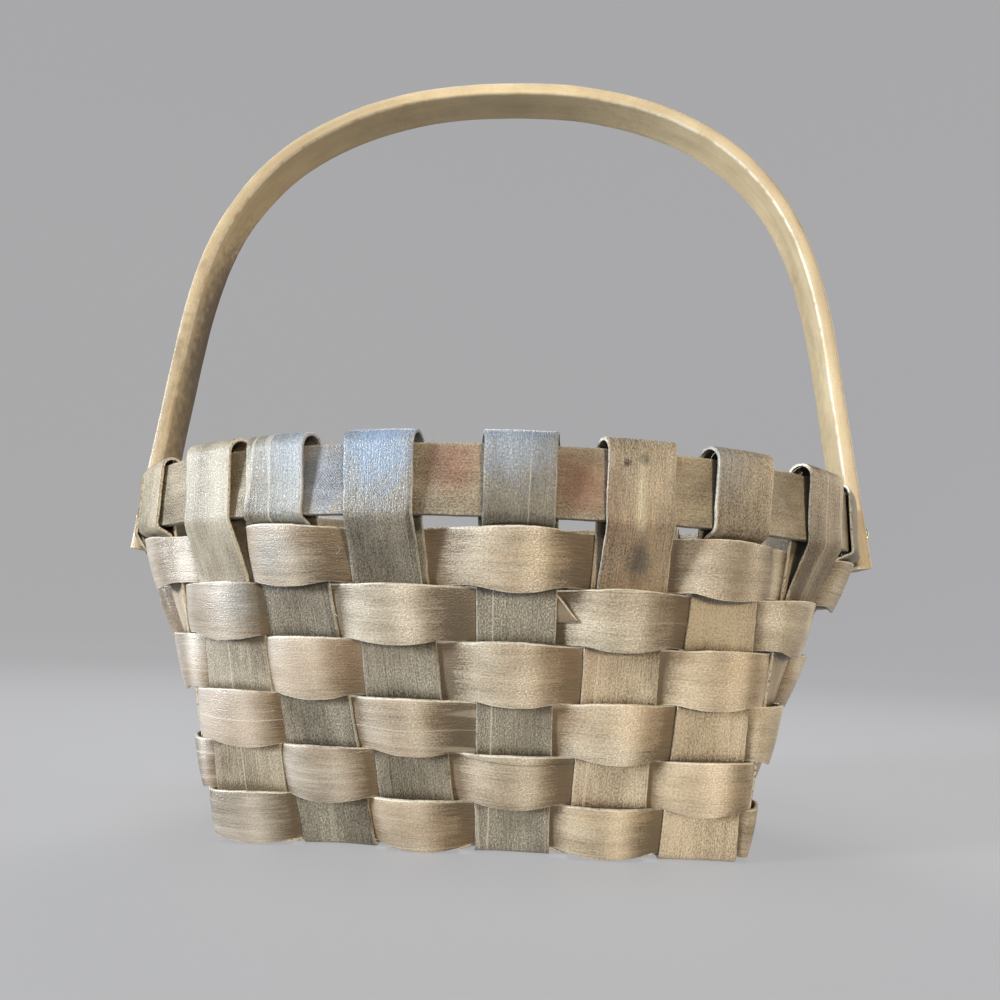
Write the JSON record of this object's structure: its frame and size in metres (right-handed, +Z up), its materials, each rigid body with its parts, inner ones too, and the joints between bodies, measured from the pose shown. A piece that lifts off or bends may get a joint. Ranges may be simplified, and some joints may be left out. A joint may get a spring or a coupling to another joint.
{
  "type": "gathering basket",
  "caption": "Rectangular-based basket woven from flat wood splints, with an oval rim hoop and a bent-wood swing handle on two pivot nails.",
  "frame": {"origin": "middle of the underside, where the basket stands", "axes": "+X along the long side to the right, +Z up, front face towards -Y"},
  "size_m": [0.322, 0.2132, 0.3395],
  "materials": {
    "upright_splint": "stained, satin",
    "cross_splint": "stained, satin",
    "weaver": "stained, satin",
    "rim": "stained, matte",
    "handle": "stained, satin",
    "nail": "plated, dulled"
  },
  "bodies": {
    "basket": {"long_splint_1": "upright_splint", "long_splint_2": "upright_splint", "long_splint_3": "upright_splint", "long_splint_4": "upright_splint", "long_splint_5": "upright_splint", "long_splint_6": "upright_splint", "cross_splint_1": "cross_splint", "cross_splint_2": "cross_splint", "cross_splint_3": "cross_splint", "cross_splint_4": "cross_splint", "weaver_row_1": "weaver", "weaver_row_2": "weaver", "weaver_row_3": "weaver", "weaver_row_4": "weaver", "weaver_row_5": "weaver", "weaver_row_6": "weaver", "rim_hoop": "rim", "pivot_nail_left": "nail", "pivot_nail_right": "nail"},
    "handle": {"handle_hoop": "handle"}
  },
  "joints": [
    {"name": "handle_swing", "type": "hinge", "parent": "basket", "child": "handle", "pos_m": [0, 0, 0.1205], "axis": [1, 0, 0], "range_deg": [-118, 118]}
  ]
}
